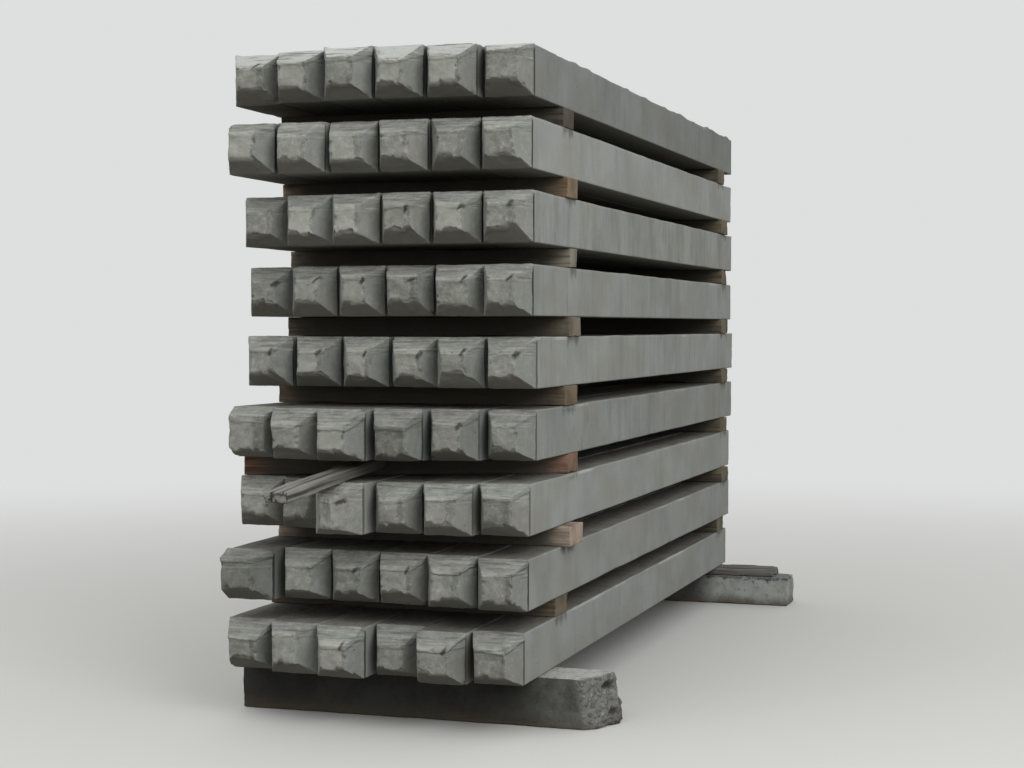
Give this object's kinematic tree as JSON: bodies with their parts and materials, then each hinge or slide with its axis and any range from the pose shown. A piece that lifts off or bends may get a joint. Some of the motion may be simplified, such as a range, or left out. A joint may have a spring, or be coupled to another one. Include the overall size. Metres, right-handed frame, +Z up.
{
  "type": "stack of precast concrete piles",
  "caption": "Square precast concrete piles with blunt pointed ends, stacked in level layers on timber spacers and resting on cross sleepers.",
  "frame": {"origin": "middle of the footprint of the whole stack, sleepers included, on the ground", "axes": "+X across the piles to the right, towards the long ends of the sleepers; +Y along the piles, from the pointed ends to the square ends; +Z up"},
  "size_m": [1.685, 4.6498, 2.656],
  "materials": {
    "cast_concrete": "matt grey cast concrete, rough trowelled on top, with faint vertical stains",
    "old_concrete": "matt weathered concrete with dirt and rough broken faces",
    "spacer_timber": "rough sawn timber, dull and damp, from grey brown to orange brown",
    "grey_timber": "bare weathered timber, grey, with open grain"
  },
  "bodies": {
    "root": {"front_sleeper": "old_concrete", "front_spacer_1": "spacer_timber", "front_spacer_2": "spacer_timber", "front_spacer_3": "spacer_timber", "front_spacer_4": "spacer_timber", "front_spacer_5": "spacer_timber", "front_spacer_6": "spacer_timber", "front_spacer_7": "spacer_timber", "front_spacer_8": "spacer_timber", "loose_batten": "grey_timber", "pile_layer_1": "cast_concrete", "pile_layer_2": "cast_concrete", "pile_layer_3": "cast_concrete", "pile_layer_4": "cast_concrete", "pile_layer_5": "cast_concrete", "pile_layer_6": "cast_concrete", "pile_layer_7": "cast_concrete", "pile_layer_8": "cast_concrete", "pile_layer_9": "cast_concrete", "rear_packing_plank": "grey_timber", "rear_sleeper": "old_concrete", "rear_spacer_1": "spacer_timber", "rear_spacer_2": "spacer_timber", "rear_spacer_3": "spacer_timber", "rear_spacer_4": "spacer_timber", "rear_spacer_5": "spacer_timber", "rear_spacer_6": "spacer_timber", "rear_spacer_7": "spacer_timber", "rear_spacer_8": "spacer_timber"}
  },
  "joints": []
}
